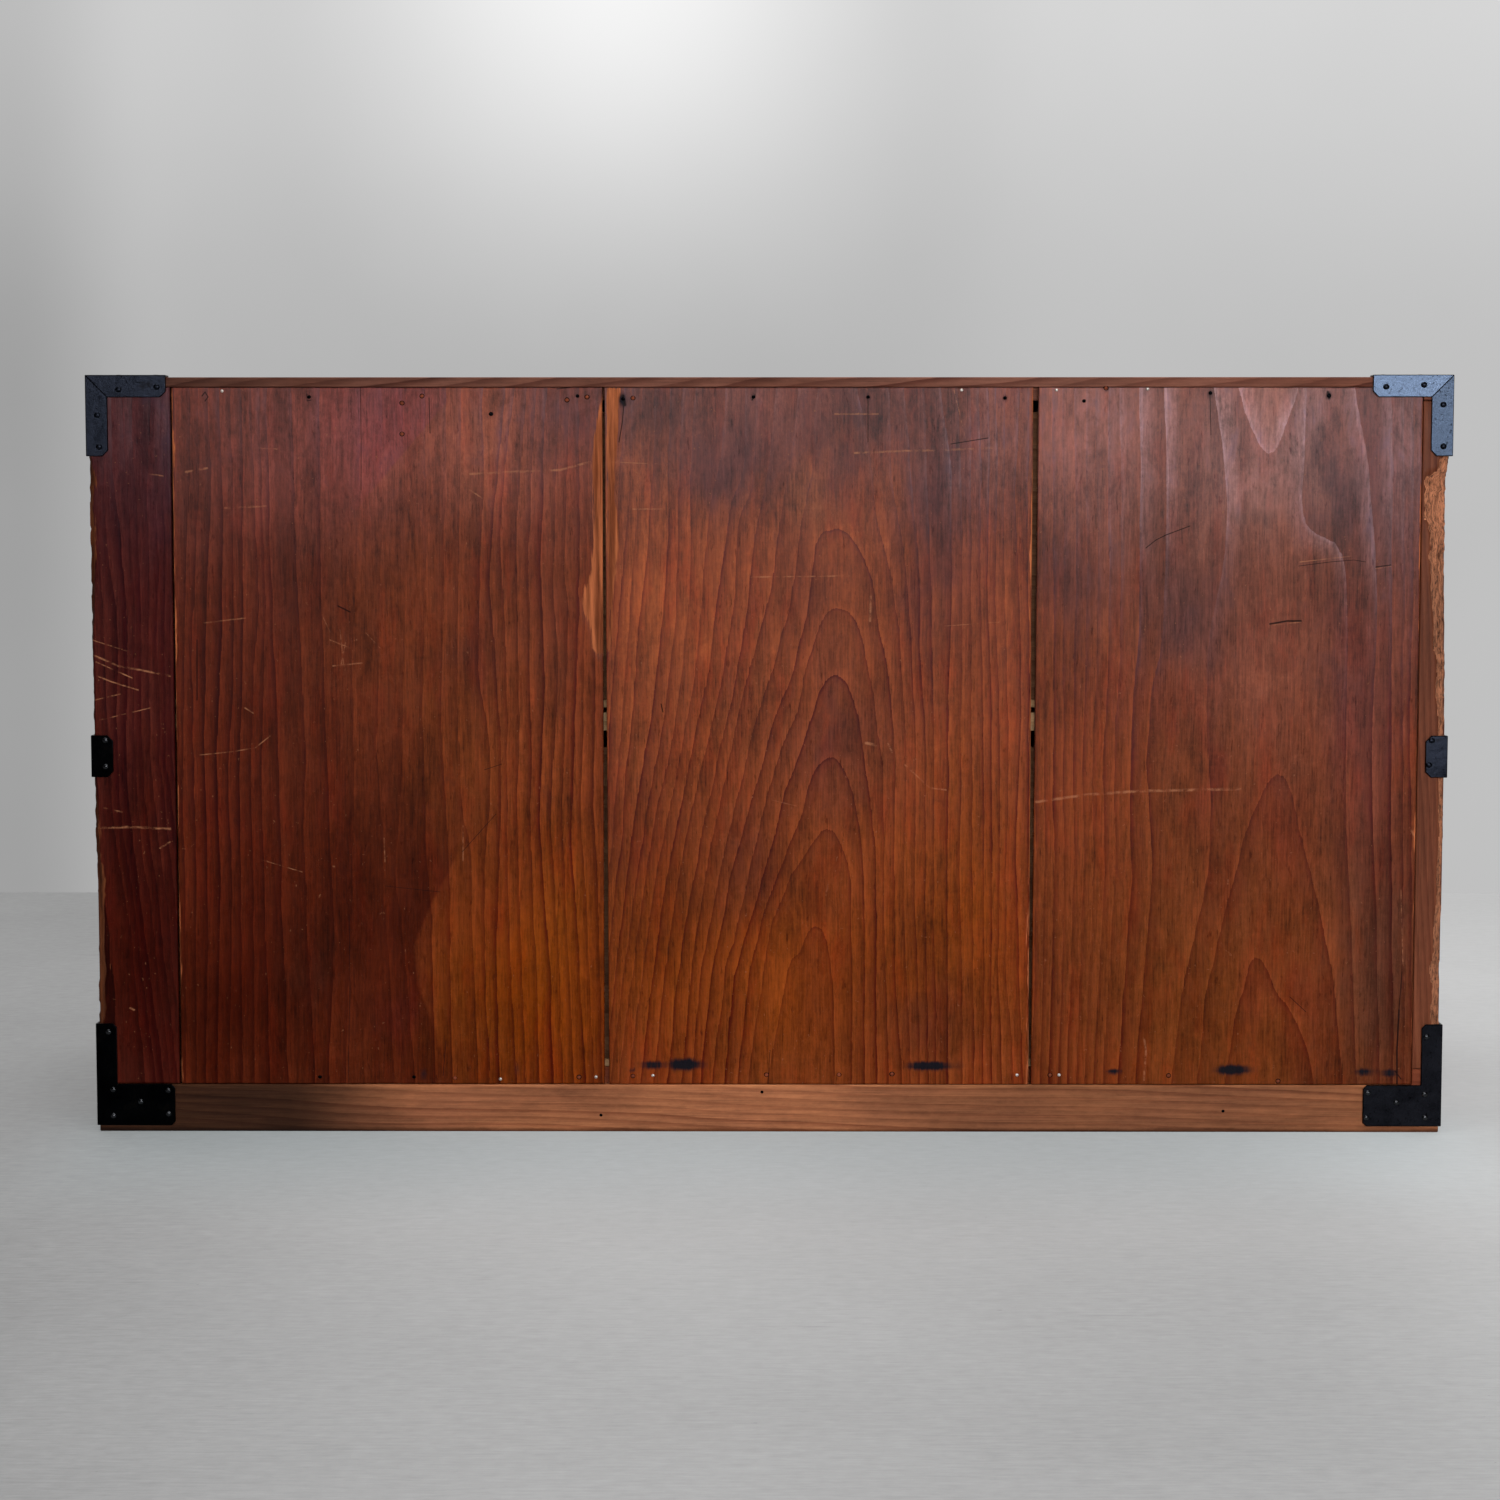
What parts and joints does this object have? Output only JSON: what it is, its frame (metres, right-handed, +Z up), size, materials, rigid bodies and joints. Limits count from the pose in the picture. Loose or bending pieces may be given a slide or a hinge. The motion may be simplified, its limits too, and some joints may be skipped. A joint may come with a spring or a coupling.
{
  "type": "kimono tansu",
  "caption": "Low wooden clothing chest with lapped drawers on runners, drop handles, sliding lock bolts, nailed back boards and folded iron corner straps.",
  "frame": {"origin": "on the floor, under the middle of the whole chest with its handles", "axes": "+X along the width, +Y from the drawers to the back boards, +Z up"},
  "size_m": [1.0636, 0.4488, 0.5958],
  "materials": {
    "stained_cedar": "worn red-brown stain",
    "front_cedar": "polished red-brown stain",
    "pale_wood": "bare, unfinished",
    "black_iron": "blackened, forged"
  },
  "bodies": {
    "carcass": {"top_board": "stained_cedar", "side_board_left": "stained_cedar", "side_board_right": "stained_cedar", "front_base_rail": "stained_cedar", "rear_base_rail": "stained_cedar", "floor_board": "stained_cedar", "front_middle_rail": "stained_cedar", "rear_middle_rail": "pale_wood", "runner_left": "pale_wood", "runner_right": "pale_wood", "back_strip": "stained_cedar", "back_board_left": "stained_cedar", "back_board_centre": "stained_cedar", "back_board_right": "stained_cedar", "rear_top_strap_left": "black_iron", "rear_top_strap_right": "black_iron", "rear_foot_strap_left": "black_iron", "rear_foot_strap_right": "black_iron", "rear_clip_left": "black_iron", "rear_clip_right": "black_iron", "front_top_strap_left": "black_iron", "front_top_strap_right": "black_iron", "front_foot_strap_left": "black_iron", "front_foot_strap_right": "black_iron", "front_clip_left": "black_iron", "front_clip_right": "black_iron"},
    "upper_drawer": {"upper_drawer_front": "front_cedar", "upper_drawer_side_left": "pale_wood", "upper_drawer_side_right": "pale_wood", "upper_drawer_back": "pale_wood", "upper_drawer_bottom": "pale_wood", "upper_drawer_lock_plate": "black_iron", "upper_drawer_lock_case": "black_iron", "upper_drawer_handle_left_post_left": "black_iron", "upper_drawer_handle_left_post_right": "black_iron", "upper_drawer_handle_right_post_left": "black_iron", "upper_drawer_handle_right_post_right": "black_iron"},
    "upper_drawer_handle_left_bail": {"upper_drawer_handle_left_bail": "black_iron"},
    "upper_drawer_handle_right_bail": {"upper_drawer_handle_right_bail": "black_iron"},
    "upper_drawer_lock_bolt": {"upper_drawer_lock_bolt": "black_iron"},
    "lower_drawer": {"lower_drawer_front": "front_cedar", "lower_drawer_side_left": "pale_wood", "lower_drawer_side_right": "pale_wood", "lower_drawer_back": "pale_wood", "lower_drawer_bottom": "pale_wood", "lower_drawer_lock_plate": "black_iron", "lower_drawer_lock_case": "black_iron", "lower_drawer_handle_left_post_left": "black_iron", "lower_drawer_handle_left_post_right": "black_iron", "lower_drawer_handle_right_post_left": "black_iron", "lower_drawer_handle_right_post_right": "black_iron"},
    "lower_drawer_handle_left_bail": {"lower_drawer_handle_left_bail": "black_iron"},
    "lower_drawer_handle_right_bail": {"lower_drawer_handle_right_bail": "black_iron"},
    "lower_drawer_lock_bolt": {"lower_drawer_lock_bolt": "black_iron"}
  },
  "joints": [
    {"name": "upper_drawer_slide", "type": "slide", "parent": "carcass", "child": "upper_drawer", "axis": [0, -1, 0], "range_m": [0, 0.33]},
    {"name": "upper_drawer_handle_left_swing", "type": "hinge", "parent": "upper_drawer", "child": "upper_drawer_handle_left_bail", "pos_m": [0.265, -0.2174, 0.4768], "axis": [-1, 0, 0], "range_deg": [-15, 165]},
    {"name": "upper_drawer_handle_right_swing", "type": "hinge", "parent": "upper_drawer", "child": "upper_drawer_handle_right_bail", "pos_m": [-0.265, -0.2174, 0.4768], "axis": [-1, 0, 0], "range_deg": [-15, 165]},
    {"name": "upper_drawer_lock_bolt_slide", "type": "slide", "parent": "upper_drawer", "child": "upper_drawer_lock_bolt", "axis": [0, 0, 1], "range_m": [0, 0.009]},
    {"name": "lower_drawer_slide", "type": "slide", "parent": "carcass", "child": "lower_drawer", "axis": [0, -1, 0], "range_m": [0, 0.33]},
    {"name": "lower_drawer_handle_left_swing", "type": "hinge", "parent": "lower_drawer", "child": "lower_drawer_handle_left_bail", "pos_m": [0.265, -0.2174, 0.2188], "axis": [-1, 0, 0], "range_deg": [-15, 165]},
    {"name": "lower_drawer_handle_right_swing", "type": "hinge", "parent": "lower_drawer", "child": "lower_drawer_handle_right_bail", "pos_m": [-0.265, -0.2174, 0.2188], "axis": [-1, 0, 0], "range_deg": [-15, 165]},
    {"name": "lower_drawer_lock_bolt_slide", "type": "slide", "parent": "lower_drawer", "child": "lower_drawer_lock_bolt", "axis": [0, 0, 1], "range_m": [0, 0.009]}
  ]
}
